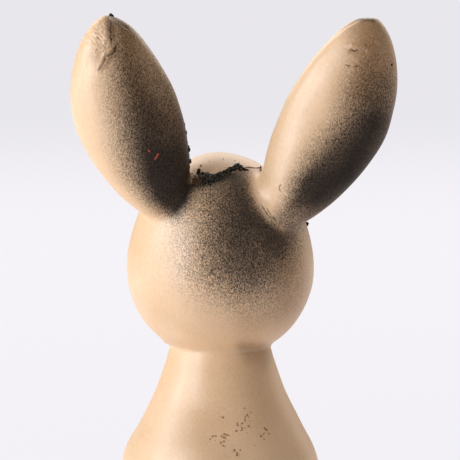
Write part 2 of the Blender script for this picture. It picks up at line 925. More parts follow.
@dataclass
class HeadShell:
    """The egg-shaped head: two half ellipses turned about Z, with a muzzle and moulded eyes."""

    half_width: float = 28.0
    crown: float = 35.0
    jaw: float = 26.7
    middle_z: float = 93.15
    neck_z: float = 70.41
    neck_radius: float = NECK_RADIUS
    neck_lean: float = NECK_LEAN
    neck_fillet: float = 2.2
    cheek_radius: float = 9.5
    cheek_x: float = 6.0
    cheek_drop: float = 8.0
    cheek_proud: float = 5.5
    cheek_blend: float = 2.5
    eye_radius: float = 7.0
    eye_proud: float = 1.2
    eye_turn: float = math.radians(27.0)
    eye_rise: float = math.radians(12.0)
    eye_blend: float = 0.6
    eye_paint: Pair = (3.3, 4.6)
    glint: Spot = (0.9, 1.9)
    glint_radius: float = 1.0
    blush: Place = (17.0, -21.0, -6.5)
    blush_radius: float = 5.0
    blush_share: float = 0.55
    nose_drop: float = 3.6
    nose_size: float = 3.0
    nose_proud: float = 2.2
    nose_width: float = 1.13
    nose_flare: float = 0.15
    nose_least: float = 0.4
    nose_squash: float = 1.25
    mouth_line: Path = ((0.0, -6.0), (0.0, -10.0), (1.4, -11.6), (3.4, -12.2), (5.4, -11.6))
    mouth_half: float = 0.42
    front_y: float = -4.0
    seam: tuple[tuple[float, ...], tuple[float, ...]] = (
        (-9.0, -6.3, -2.7, 0.9, 3.6, 6.0, 12.0),
        (118.8, 119.4, 120.0, 120.6, 122.1, 123.4, 123.6),
    )
    seam_soft: float = 0.6
    crown_bare: float = 0.85
    bare: SprayStroke = SprayStroke(
        ((-10.6, 123.0), (-11.4, 118.0), (-13.0, 114.0), (-15.8, 110.2), (-18.6, 107.0)), 2.0, 0.96
    )
    spray_edge: Pair = (-6.0, 4.0)
    flash: Place = (15.9, 1.0, 72.2)
    flash_size: float = 1.3
    flash_proud: float = 0.8
    wave: float = 0.12
    wave_size: float = 14.0
    seat_calm: Pair = (15.0, 22.0)
    pole_gap: float = 0.004
    rows: int = 300
    columns: int = 300
    spray: tuple[SprayStroke, ...] = (
        SprayStroke(((-4.5, 120.9), (-8.2, 110.1), (-14.8, 103.8)), 5.2, 0.8),
        SprayStroke(((2.3, 123.1), (-2.0, 107.0), (-2.2, 95.4)), 10.8, 0.6),
        SprayStroke(((11.0, 106.0), (9.5, 94.0)), 6.0, 0.17),
        SprayStroke(((-6.2, 104.0), (-9.8, 93.0)), 9.6, 0.72),
        SprayStroke(((-28.9, 121.5), (-17.3, 99.6)), 5.6, 0.7),
        SprayStroke(((8.4, 121.0), (9.6, 117.5), (11.0, 113.8), (13.6, 110.8)), 2.8, 0.97),
        SprayStroke(((7.0, 118.2), (1.0, 119.8), (-3.0, 121.6)), 1.5, 0.85),
    )

    def half_height(self, rise: Array) -> Array:
        """Half height of the half ellipse above or below the middle."""
        return np.where(rise > 0.0, self.crown, self.jaw)

    def egg(self, points: Array) -> Array:
        """Works out the egg's equation: the root of the sum of squared shares of its half sizes.

        Args:
            points: Points in millimetres.

        Returns:
            Size of the egg through each point as a share of the head's own.
        """
        rise = points[..., 2] - self.middle_z
        flat = (points[..., 0] ** 2 + points[..., 1] ** 2) / self.half_width**2
        return np.sqrt(flat + (rise / self.half_height(rise)) ** 2)

    def out(self, points: Array) -> Array:
        """Works out the egg's normals: the slope of its equation.

        Args:
            points: Points on the egg or near it.

        Returns:
            The outward directions.
        """
        rise = points[..., 2:] - self.middle_z
        flat = points[..., :2] / self.half_width**2
        return unit(np.concatenate([flat, rise / self.half_height(rise) ** 2], axis=-1))

    def onto(self, points: Array) -> Array:
        """Points moved along the line from the head's middle onto the egg."""
        middle = on_axis(self.middle_z)
        return middle + (points - middle) / np.maximum(self.egg(points), TINY)[..., None]

    def behind(self, spots: Array) -> Array:
        """Points of the head's back that the camera sees at flat places.

        Along the line of sight, y is the larger root of the egg's equation.

        Args:
            spots: Flat places in the camera's view.

        Returns:
            Points on the egg.
        """
        slope = math.tan(VIEW_TILT)
        level = VIEW_LEVEL + (spots[:, 1] - VIEW_LEVEL) / math.cos(VIEW_TILT) - self.middle_z
        square = 1.0 / self.half_width**2 + slope**2 / self.crown**2
        half = level * slope / self.crown**2
        rest = spots[:, 0] ** 2 / self.half_width**2 + level**2 / self.crown**2 - 1.0
        y = (-half + np.sqrt(np.maximum(half**2 - square * rest, 0.0))) / square
        return np.column_stack([spots[:, 0], y, self.middle_z + level + y * slope])

    def place(self, rise: float, turn: float) -> Array:
        """Finds a point of the egg above its middle.

        Args:
            rise: Angle up from the middle.
            turn: Angle from the back towards the left.

        Returns:
            The point.
        """
        flat = self.half_width * math.cos(rise)
        height = self.middle_z + self.crown * math.sin(rise)
        return np.array([flat * math.sin(turn), flat * math.cos(turn), height])

    def eye_place(self, side: Side) -> Array:
        """Point of the egg in the middle of an eye."""
        return self.place(self.eye_rise, self.eye_turn) * np.array([side.value, -1.0, 1.0])

    def skin(self) -> Skin:
        """Shapes the head.

        The egg's profile is rounded into the neck and turned about Z. From the middle, each ray
        then goes out to the egg or to the sphere of a cheek or an eye, whichever is further,
        rounded where they meet. The nose is a low bump between the cheeks.

        Returns:
            The head's skin.
        """
        lowest = math.asin((self.neck_z - self.middle_z) / self.jaw)
        angle = np.linspace(lowest, math.pi / 2.0 - self.pole_gap, self.rows)
        height = self.half_height(angle) * np.sin(angle)
        rise = height + self.middle_z - self.neck_z
        neck = self.neck_radius - rise * math.tan(self.neck_lean)
        radius = soft_max(self.half_width * np.cos(angle), neck, self.neck_fillet)
        skin = lathe(radius, height, self.columns)
        reach = np.linalg.norm(skin.rings, axis=-1)
        heading = skin.rings / reach[..., None]
        face = self.half_width * math.sqrt(
            1.0 - (self.cheek_drop / self.jaw) ** 2 - (self.cheek_x / self.half_width) ** 2
        )
        cheek_y = face + self.cheek_proud - self.cheek_radius
        for side in Side:
            cheek = np.array([side.value * self.cheek_x, -cheek_y, -self.cheek_drop])
            ball = sphere_exit(heading, cheek, self.cheek_radius)
            reach = soft_max(reach, ball, self.cheek_blend)
            eye = self.eye_place(side) - on_axis(self.middle_z)
            eye -= self.out(self.eye_place(side)) * (self.eye_radius - self.eye_proud)
            reach = soft_max(reach, sphere_exit(heading, eye, self.eye_radius), self.eye_blend)
        rings = heading * reach[..., None] + on_axis(self.middle_z)
        nose = 1.0 + self.nose_distance(rings[..., 0], rings[..., 2]) / self.nose_size
        bump = self.nose_proud * np.exp(-(nose**4))
        rings[..., 1] -= np.where(rings[..., 1] < 0.0, bump, 0.0)
        return Skin(rings, on_axis(self.neck_z), on_axis(self.middle_z + self.crown))

    def nose_distance(self, x: Array, z: Array) -> Array:
        """Works out the distance from the nose's edge, a rounded triangle as seen from the front.

        Args:
            x: Values of x.
            z: Heights.

        Returns:
            The distance, which is negative inside.
        """
        rise = z - self.middle_z + self.nose_drop
        width = np.maximum(self.nose_width + self.nose_flare * rise, self.nose_least)
        return np.hypot(x / width, self.nose_squash * rise) - self.nose_size

    def mouth(self, points: Array) -> Array:
        """Distance inside the mouth's line: a stem under the nose and a curve on each side."""
        flat = np.column_stack([np.abs(points[:, 0]), points[:, 2] - self.middle_z])
        return self.mouth_half - np.abs(path_distance(flat, self.mouth_line)[0])

    def sprayed(self, points: Array) -> Array:
        """Works out the back's spray, which leaves the crown and the right ear's foot bare.

        Args:
            points: Points in millimetres.

        Returns:
            The density at each point.
        """
        spots = as_seen(points)
        above = spots[:, 1] - np.interp(-spots[:, 0], *self.seam)
        crown = self.crown_bare * smooth_step(-self.seam_soft, self.seam_soft, above)
        bare = layered(crown, self.bare.density(spots))
        back = smooth_step(*self.spray_edge, points[:, 1])
        return laid(self.spray, spots) * back * (1.0 - bare)

    def marks(self, skin: Skin) -> dict[str, Array]:
        """Lays out the paint.

        Args:
            skin: The finished skin.

        Returns:
            The marks by name.
        """
        points = skin.points()
        eye = np.full(len(points), OUTSIDE)
        glint = np.full(len(points), OUTSIDE)
        blush = np.zeros(len(points))
        half, tall = self.eye_paint
        for side in Side:
            offset = points - self.eye_place(side)
            across = offset @ np.array(
                [side.value * math.cos(self.eye_turn), math.sin(self.eye_turn), 0.0]
            )
            rise = offset[:, 2]
            eye = np.maximum(eye, half * (1.0 - np.hypot(across / half, rise / tall)))
            gap = np.hypot(offset[:, 0] - self.glint[0], rise - self.glint[1])
            glint = np.maximum(glint, self.glint_radius - gap)
            cheek = points - np.array(self.blush) * side.flip() - on_axis(self.middle_z)
            spot = bell(np.linalg.norm(cheek, axis=1), self.blush_radius)
            blush = np.maximum(blush, self.blush_share * spot)
        nose = -self.nose_distance(points[:, 0], points[:, 2])
        brushed = {"eye": eye, "glint": glint, "nose": nose, "mouth": self.mouth(points)}
        front = points[:, 1] < self.front_y
        marks = {name: np.where(front, inside, OUTSIDE) for name, inside in brushed.items()}
        return marks | {
            "grime": back_grime(points),
            "spray": self.sprayed(points),
            "blush": blush,
        }

    def build(self, seats: list[Array]) -> None:
        """Makes the head and dresses it.

        Args:
            seats: Middles of the ears' seats, where the skin is left even.
        """
        skin = self.skin()
        points = skin.points()
        gaps = [np.linalg.norm(points - seat, axis=1) for seat in seats]
        calm = smooth_step(*self.seat_calm, np.minimum(*gaps))
        calm *= smooth_step(*NECK_CALM, points[:, 2] - self.neck_z)
        from_flash = np.linalg.norm(points - np.array(self.flash), axis=1)
        flash = self.flash_proud * bell(from_flash, self.flash_size)
        skin = skin.pushed(self.wave * calm * ripple(points, self.wave_size, seed=3) + flash)
        vinyl = SoftVinyl("sprayed_soft_vinyl_head", HEAD_COATS)
        make_piece("rabbit_head", [skin], "head", ("head_shell",), vinyl, self.marks(skin))


@dataclass
class BodyShell:
    """The pear-shaped body: a profile turned about Z, with pockets for the limbs and a socket."""

    height: float = 70.4
    belly_radius: float = 29.8
    belly_z: float = 31.0
    shoulder_arc: float = 24.0
    flank_lean: float = math.radians(31.0)
    neck_radius: float = NECK_RADIUS
    neck_lean: float = NECK_LEAN
    base_radius: float = 17.0
    hip_x: float = HIP_X
    hip_z: float = HIP_Z
    hip_pocket: float = 14.4
    shoulder_pocket: float = 5.8
    rim_radius: float = 11.44
    rim_top: float = 1.7
    barrel_radius: float = 9.04
    socket_top: float = 11.0
    low_rows: int = 110
    high_rows: int = 150
    columns: int = 320
    wave: float = 0.16
    wave_size: float = 17.0
    base_calm: Pair = (1.0, 6.0)
    spray_break: float = 0.8
    fox_middle: Spot = (-6.5, 45.0)
    fox_reach: Pair = (10.5, 8.0)
    fox_fade: Pair = (1.3, 0.5)
    fox_patches: Pair = (0.0, 0.7)
    fox_size: float = 4.5
    fox_share: float = 0.75

    def flank(self, z: Array) -> Array:
        """Shapes the flank: a cubic that runs smoothly from the shoulder into the neck.

        Args:
            z: Heights.

        Returns:
            The radius at each height.
        """
        start_z = self.belly_z + self.shoulder_arc * math.sin(self.flank_lean)
        start_r = self.belly_radius - self.shoulder_arc * (1.0 - math.cos(self.flank_lean))
        rise = self.height - start_z
        t = (z - start_z) / rise
        return (
            (2.0 * t**3 - 3.0 * t**2 + 1.0) * start_r
            - (t**3 - 2.0 * t**2 + t) * rise * math.tan(self.flank_lean)
            + (3.0 * t**2 - 2.0 * t**3) * self.neck_radius
            - (t**3 - t**2) * rise * math.tan(self.neck_lean)
        )

    def radius(self, z: Array) -> Array:
        """Shapes the profile: a quarter ellipse at the base, a shoulder arc, then the flank.

        Args:
            z: Heights.

        Returns:
            The radius at each height.
        """
        below = np.clip((self.belly_z - z) / self.belly_z, 0.0, 1.0)
        base = self.base_radius + (self.belly_radius - self.base_radius) * np.sqrt(1.0 - below**2)
        above = np.clip((z - self.belly_z) / self.shoulder_arc, 0.0, 1.0)
        shoulder = self.belly_radius - self.shoulder_arc * (1.0 - np.sqrt(1.0 - above**2))
        flank_z = self.belly_z + self.shoulder_arc * math.sin(self.flank_lean)
        return np.where(z < self.belly_z, base, np.where(z < flank_z, shoulder, self.flank(z)))

    def skin(self, head: HeadShell) -> Skin:
        """Shapes the body.

        Args:
            head: The head, whose egg the neck is rounded into.

        Returns:
            The body's skin, from the ceiling of the squeaker's socket to the top of the neck.
        """
        socket_r = [self.barrel_radius, self.barrel_radius, self.rim_radius, self.rim_radius]
        socket_z = [self.socket_top, self.rim_top, self.rim_top, 0.0]
        sweep = np.linspace(0.0, math.pi / 2.0, self.low_rows)
        low_z = self.belly_z * (1.0 - np.cos(sweep))
        high_z = np.linspace(self.belly_z, self.height, self.high_rows)[1:]
        z = np.concatenate([low_z, high_z])
        level = np.maximum(1.0 - ((z - head.middle_z) / head.jaw) ** 2, 0.0)
        radius = soft_max(self.radius(z), head.half_width * np.sqrt(level), head.neck_fillet)
        return lathe(
            np.concatenate([socket_r, radius]), np.concatenate([socket_z, z]), self.columns
        )

    def pocketed(self, skin: Skin, joints: list[tuple[Array, Array, float]]) -> Skin:
        """Sinks a flat round pocket at each limb.

        A point within the pocket's radius of the joint's axis goes back to the pocket's floor, and
        one within half a grid step of its edge moves onto the edge.

        Args:
            skin: The plain body.
            joints: A point on the floor, the outward axis and the radius of each pocket.

        Returns:
            The body with its pockets.
        """
        points = skin.points()
        half_step = math.pi * self.belly_radius / self.columns
        for floor, axis, radius in joints:
            offset = points - floor
            height = offset @ axis
            flat = offset - height[:, None] * axis
            gap = np.linalg.norm(flat, axis=1)
            near = (np.abs(gap - radius) < half_step) & (height > 0.0)
            snapped = flat * (radius / np.maximum(gap, TINY))[:, None]
            flat = np.where(near[:, None], snapped, flat)
            height = np.where(~near & (gap < radius) & (height > 0.0), 0.0, height)
            points = floor + flat + height[:, None] * axis
        return skin.with_points(points)

    def foxing(self, points: Array) -> Array:
        """Lays out brown specks in a patchy oval low on the back.

        Args:
            points: Points in millimetres.

        Returns:
            The share of cells that hold a speck at each point.
        """
        spots = as_seen(points)
        off = np.hypot(*((spots - np.array(self.fox_middle)) / np.array(self.fox_reach)).T)
        patchy = smooth_step(*self.fox_patches, ripple(points, self.fox_size, seed=31))
        back = smooth_step(*BACK_EDGE, points[:, 1])
        return self.fox_share * smooth_step(*self.fox_fade, off) * patchy * back

    def build(self, head: HeadShell, joints: list[tuple[Array, Array, float]]) -> None:
        """Makes the body and dresses it.

        Args:
            head: The head above.
            joints: Pockets as for pocketed().
        """
        skin = self.skin(head)
        points = skin.points()
        calm = smooth_step(*self.base_calm, points[:, 2])
        calm *= smooth_step(*NECK_CALM, self.height - points[:, 2])
        skin = skin.pushed(self.wave * calm * ripple(points, self.wave_size, seed=5))
        skin = self.pocketed(skin, joints)
        points = skin.points()
        marks = {"grime": back_grime(points), "foxing": self.foxing(points)}
        vinyl = SoftVinyl("soft_vinyl_body", BODY_COATS, spray_break=self.spray_break)
        make_piece("rabbit_body", [skin], "body", ("body_shell",), vinyl, marks)


# Ears


@dataclass
class Ear:
    """A long ear: cross-sections along a bowed middle line, round behind and dished in front."""

    side: Side
    length: float
    lean: float
    seat_rise: float
    seat_turn: float
    tip_z: float
    shade: ShadedSide
    strokes: tuple[SprayStroke, ...]
    grooves: tuple[Groove, ...]
    grime: tuple[SprayStroke, ...]
    width: float = 31.4
    depth: float = 20.0
    wide: float = 0.53
    width_powers: Pair = (1.75, 0.57)
    depth_powers: Pair = (2.4, 0.45)
    dish_from: float = 0.1
    dish_wave: float = math.radians(200.0)
    dish_flat: float = 0.4
    dish_depth: float = 0.45
    dish_facing: Pair = (0.35, 0.8)
    bow: float = 2.4
    bow_power: float = 1.4
    tilt: float = math.radians(3.0)
    root: float = 6.0
    tip_blend: float = 0.8
    trial: Span = (0.002, 0.6, 700)
    last_row: float = 0.992
    fillet: float = 2.6
    inner_fillet: float = 2.6
    inner_facing: Pair = (0.2, 0.9)
    flange: Place = (0.9, 0.6, 0.3)
    flange_sink: float = 0.06
    flecks: tuple[Path, ...] = ()
    fleck_radius: float = 0.24
    spray_break: float = 2.5
    wave: float = 0.08
    wave_size: float = 11.0
    wave_calm: Pair = (0.5, 6.0)
    crumple: Spot = (36.2, 161.0)
    crumple_reach: float = 5.0
    crumple_height: float = 0.0
    crumple_size: float = 1.1
    rows: int = 290
    columns: int = 320
    crowding: float = 0.35
    foot_blend: float = 0.7
    back_facing: Pair = (-0.1, 0.25)
    front_facing: Pair = (-0.6, 0.1)
    front_spray: float = 0.25
    rose: float = 0.75
    rose_from: Pair = (118.0, 128.0)
    rose_to: Pair = (166.0, 152.0)

    def sections(self, share: Array, angle: Array) -> tuple[Array, Array]:
        """Points of the ear in its own frame, root at the origin and tip along +Z.

        The half width and half depth fall to zero at both ends as powers of one minus a power of
        the distance from the widest place. The front half of each section is flattened and then
        dished.

        Args:
            share: Share of the length, from 0 at the root to 1 at the tip, by row and column.
            angle: Angle round the section, from the outer edge over the back, by column.

        Returns:
            The points, and the points of the middle line beside them.
        """
        past = share - self.wide
        off = np.where(share < self.wide, -past / self.wide, past / (1.0 - self.wide))
        half_w, half_d = (
            0.5 * size * (1.0 - off**inner) ** outer
            for size, (inner, outer) in (
                (self.width, self.width_powers),
                (self.depth, self.depth_powers),
            )
        )
        along = share - self.dish_from
        dish = np.where(along < 0.0, 0.0, np.sin(self.dish_wave * along))
        turn = np.sin(angle)
        front = (1.0 - self.dish_flat * dish) * turn + self.dish_depth * dish * turn**4
        middle = self.bow * np.sin(np.pi * share**self.bow_power)
        line = np.stack([middle, np.zeros_like(share), self.length * share], axis=-1)
        points = line.copy()
        points[..., 0] += half_w * np.cos(angle)
        points[..., 1] += half_d * np.where(turn >= 0.0, turn, front)
        return points, line

    def seat(self, head: HeadShell) -> Array:
        """Point of the egg in the middle of the ear's root, on the left side."""
        return head.place(self.seat_rise, self.seat_turn)

    def placed(self, points: Array, head: HeadShell) -> Array:
        """Turns points by the tilt and the lean and carries them to the seat, on the left side.

        Args:
            points: Points in the ear's own frame.
            head: The head below.

        Returns:
            The placed points.
        """
        x, y, z = points[..., 0], points[..., 1], points[..., 2] - self.root
        back = y * math.cos(self.tilt) + z * math.sin(self.tilt)
        up = z * math.cos(self.tilt) - y * math.sin(self.tilt)
        out = x * math.cos(self.lean) + up * math.sin(self.lean)
        rise = up * math.cos(self.lean) - x * math.sin(self.lean)
        return np.stack([out, back, rise], axis=-1) + self.seat(head)

    def rows_above(self, angle: Array, head: HeadShell) -> Array:
        """Shares of the length for each row and column, from the head's surface to the tip.

        Down each column, the lowest share is where the egg's equation passes one.

        Args:
            angle: Angle round the section, by column.
            head: The head below.

        Returns:
            The shares.
        """
        trial = np.linspace(*self.trial)[:, None] + np.zeros_like(angle)
        points, _ = self.sections(trial, angle)
        height = head.egg(self.placed(points, head)) - 1.0
        above = np.argmax(height > 0.0, axis=0)
        columns = np.arange(len(angle))
        low, high = height[above - 1, columns], height[above, columns]
        start = trial[above - 1, columns] + (trial[1, 0] - trial[0, 0]) * low / (low - high)
        return start + (1.0 - start) * crowded(0.0, self.last_row, self.rows)[:, None]

    def seated(self, rings: Array, line: Array, head: HeadShell) -> Array:
        """Rounds the ear's root into the head.

        A point at height h above the egg moves along the egg, away from the ear's middle line, by
        the square of sqrt(k) - sqrt(h). This is a parabola that leaves the head and the ear
        smoothly. Its size k goes from the fillet to the inner fillet towards the other ear. A thin
        flange goes on from it and sinks into the head.

        Args:
            rings: Points of the ear.
            line: Points of the middle line beside them.
            head: The head below.

        Returns:
            The seated points.
        """
        ground = head.onto(rings)
        normal = head.out(ground)
        height = np.maximum(((rings - ground) * normal).sum(-1), 0.0)
        away = rings - line
        away = unit(away - (away * normal).sum(-1, keepdims=True) * normal)
        inner = smooth_step(*self.inner_facing, -away[..., 0])
        fillet = self.fillet + (self.inner_fillet - self.fillet) * inner
        sweep = np.maximum(np.sqrt(fillet) - np.sqrt(height), 0.0) ** 2
        seated = head.onto(ground + away * sweep[..., None]) + rings - ground
        beyond = np.array(self.flange)[:, None, None]
        flange = head.onto(ground[0] + away[0] * (fillet[0][:, None] + beyond))
        flange -= self.flange_sink * beyond**2 * head.out(flange)
        return np.concatenate([flange, seated])

    def skin(self, head: HeadShell) -> Skin:
        """Shapes the ear: its sections, the trimmed flat at the tip and the seat on the head.

        Args:
            head: The head below.

        Returns:
            The ear's skin.
        """
        even = around(self.columns)
        angle = even + self.crowding * np.cos(even)
        points, line = self.sections(self.rows_above(angle, head), angle)
        rings = self.placed(points, head)
        top = np.full_like(rings[..., 2], self.tip_z)
        rings[..., 2] = soft_min(rings[..., 2], top, self.tip_blend)
        rings = self.seated(rings, self.placed(line, head), head)
        return Skin(rings, self.seat(head), rings[-1].mean(0)).on_side(self.side)

    def marks(self, skin: Skin, facing: Array, height: Array, head: HeadShell) -> dict[str, Array]:
        """Lays out spray, soot, grime and flecks on the back, and rose in the dish.

        Args:
            skin: The ear before its wear.
            facing: How far each point faces back, from -1 to 1.
            height: Height of each point above the egg.
            head: The head below, whose spray runs over the ear's foot.

        Returns:
            The marks by name.
        """
        points = skin.points()
        spots = as_seen(points)
        back = smooth_step(*self.back_facing, facing)
        dish = smooth_step(*self.dish_facing, -facing)
        rise = smooth_step(*self.rose_from, points[:, 2]) * smooth_step(*self.rose_to, points[:, 2])
        spray = laid((self.shade, *self.strokes), spots)
        turned = smooth_step(*self.front_facing, facing)
        spray *= self.front_spray + (1.0 - self.front_spray) * turned
        fleck = np.full(len(points), OUTSIDE)
        for path in self.flecks:
            fleck = np.maximum(fleck, self.fleck_radius - np.abs(path_distance(spots, path)[0]))
        return {
            "spray": spray + (head.sprayed(points) - spray) * np.exp(-height / self.foot_blend),
            "soot": layered(*[groove.density(spots) * back for groove in self.grooves]),
            "rose": self.rose * dish * rise,
            "grime": laid(self.grime, spots) * back,
            "fleck": np.where(back > 0.5, fleck, OUTSIDE),
        }

    def build(self, head: HeadShell) -> bpy.types.Object:
        """Makes the ear, wears it and dresses it.

        Args:
            head: The head below.

        Returns:
            The ear.
        """
        skin = self.skin(head)
        points = skin.points()
        spots = as_seen(points)
        facing = skin.normals()[:, 1]
        height = np.maximum(head.egg(points) - 1.0, 0.0) * head.half_width
        marks = self.marks(skin, facing, height, head)
        wear = sum(groove.height(spots) for groove in self.grooves)
        near = bell(np.linalg.norm(spots - np.array(self.crumple), axis=1), self.crumple_reach)
        wear += self.crumple_height * near * ripple(points, self.crumple_size, seed=19)
        wave = self.wave * smooth_step(*self.wave_calm, height)
        wave *= ripple(points, self.wave_size, seed=7 + self.side.value)
        skin = skin.pushed(wave + smooth_step(*self.back_facing, facing) * wear)
        name = self.side.node("ear")
        vinyl = SoftVinyl(f"sprayed_soft_vinyl_{name}", EAR_COATS, spray_break=self.spray_break)
        return make_piece(f"rabbit_{name}", [skin], "head", (name,), vinyl, marks)


LEFT_EAR = Ear(
    side=Side.LEFT,
    length=64.3,
    lean=math.radians(17.6),
    seat_rise=math.radians(38.3),
    seat_turn=math.radians(50.8),
    tip_z=171.4,
    shade=ShadedSide(
        heights=(106.0, 110.0, 114.0, 120.0, 128.0, 138.0, 150.0, 160.0, 169.0),
        line=(11.6, 17.7, 22.7, 26.9, 29.4, 31.4, 33.5, 33.2, 32.4),
        strength=(0.98, 0.98, 0.98, 0.98, 0.97, 0.84, 0.58, 0.3, 0.2),
        softness=(6.8, 6.3, 5.6, 7.0, 8.4, 7.5, 6.4, 2.4, 0.8),
    ),
    strokes=(
        SprayStroke(
            ((31.0, 167.5), (29.5, 161.0), (26.5, 150.0), (22.0, 138.0), (17.5, 124.0)), 3.6, 0.3
        ),
    ),
    grooves=(
        Groove(((32.4, 168.7), (32.4, 164.0), (32.1, 160.3)), 1.7, lip=0.5),
        Groove(((32.3, 167.0), (32.3, 163.5), (32.0, 159.8)), 0.24, 0.1, dirt=0.6),
        Groove(((30.7, 159.4), (31.6, 157.6), (33.6, 156.6), (34.6, 155.0)), 0.5, lip=0.22),
        Groove(((34.0, 156.0), (35.0, 153.8), (36.0, 152.5)), 0.4, lip=0.08),
        Groove(
            tuple(
                zip(
                    (30.3, 31.0, 30.8, 31.8, 32.7, 33.3),
                    (159.3, 158.4, 157.5, 156.8, 156.4, 155.9),
                )
            ),
            0.19,
            0.22,
            dirt=0.9,
        ),
        Groove(
            ((33.6, 155.8), (34.0, 154.8), (34.7, 153.3), (35.4, 152.6), (35.8, 151.8)),
            0.18,
            0.2,
            dirt=0.85,
        ),
        Groove(((32.0, 168.5), (30.4, 168.0)), 0.45, lip=0.15, dirt=0.8),
        Groove(((30.6, 167.2), (28.8, 165.9), (26.8, 163.8)), 0.4, 0.12, dirt=0.4),
        Groove(((30.4, 165.6), (27.4, 164.0)), 0.5, lip=0.08),
        Groove(((29.0, 162.0), (24.6, 160.4)), 0.6, lip=0.07),
    ),
    grime=(
        SprayStroke(((28.4, 166.0), (27.0, 157.0), (24.0, 147.0), (20.0, 137.0)), 4.6, 0.68),
        SprayStroke(((30.6, 158.2), (32.6, 155.6), (34.8, 152.4)), 1.0, 0.6),
        SprayStroke(((34.0, 166.0), (35.5, 162.0), (36.5, 156.0)), 2.4, 0.42),
    ),
    flecks=(((18.3, 127.3), (19.2, 125.9)), ((21.1, 128.4), (20.9, 128.1))),
    crumple_height=0.09,
)

RIGHT_EAR = Ear(
    side=Side.RIGHT,
    length=69.7,
    lean=math.radians(25.2),
    seat_rise=math.radians(33.5),
    seat_turn=math.radians(53.7),
    tip_z=170.0,
    shade=ShadedSide(
        heights=(104.0, 108.0, 113.0, 120.0, 128.0, 138.0, 150.0, 160.0, 169.0),
        line=(-9.2, -15.6, -19.2, -21.8, -27.3, -34.3, -37.9, -40.8, -42.0),
        strength=(0.8, 0.66, 0.87, 0.94, 0.9, 0.76, 0.42, 0.13, 0.05),
        softness=(2.8, 3.4, 3.8, 4.7, 7.5, 7.7, 6.7, 7.3, 9.0),
    ),
    strokes=(
        SprayStroke(((-45.2, 136.0), (-37.2, 121.5), (-28.2, 115.0)), 5.2, 0.84),
        SprayStroke(((-48.0, 147.0), (-46.0, 138.0)), 4.4, 0.42),
        SprayStroke(((-40.8, 167.5), (-45.0, 166.9)), 0.7, 0.75),
    ),
    grooves=(
        Groove(((-50.5, 154.0), (-50.9, 153.2)), 0.4, 0.1, dirt=1.0),
        Groove(((-38.0, 158.6), (-40.6, 158.0), (-43.2, 158.4)), 1.0, lip=-0.45),
        Groove(((-38.4, 158.2), (-39.6, 157.7), (-40.6, 158.0)), 0.26, 0.2, dirt=0.9),
        Groove(((-36.9, 153.6), (-38.4, 153.2)), 0.2, 0.18, dirt=0.7),
        Groove(((-39.4, 153.0), (-41.2, 153.3)), 0.2, 0.18, dirt=0.75),
        Groove(((-40.8, 167.6), (-36.8, 165.4), (-32.7, 162.3)), 0.6, lip=0.34),
        Groove(
            ((-18.1, 118.6), (-17.5, 117.9), (-17.5, 117.0), (-18.0, 116.2)), 0.18, 0.1, dirt=0.6
        ),
        Groove(((-12.4, 112.4), (-13.6, 110.2), (-15.2, 108.2)), 0.2, 0.15, dirt=0.8),
        Groove(((-13.8, 111.4), (-15.0, 109.3), (-16.8, 107.4)), 0.18, 0.12, dirt=0.6),
    ),
    inner_fillet=5.5,
    grime=(SprayStroke(((-42.5, 166.0), (-44.5, 156.0), (-42.5, 146.0)), 6.5, 0.7),),
)


# Limbs and tail


def limb_radius(share: Array, near: float, far: float, waist: float = 0.8) -> Array:
    """Radius along a limb: near to far less a waist, times the cap sqrt(1 - |2s - 1| cubed)."""
    cap = np.sqrt(1.0 - np.abs(2.0 * share - 1.0) ** 3)
    return cap * (near + (far - near) * share - waist * np.sin(np.pi * share))


def make_limb(part: str, skins: list[Skin], body: str, haze: Array) -> None:
    """Makes a limb or the tail with a light haze of spray.

    Args:
        part: Name of its CAD node.
        skins: Surfaces in millimetres.
        body: CAD body that it moves with.
        haze: Density of the spray at each point.
    """
    vinyl = SoftVinyl(f"soft_vinyl_{part}", (SPRAY_COAT,))
    make_piece(f"rabbit_{part}", skins, body, (part,), vinyl, {"spray": haze})


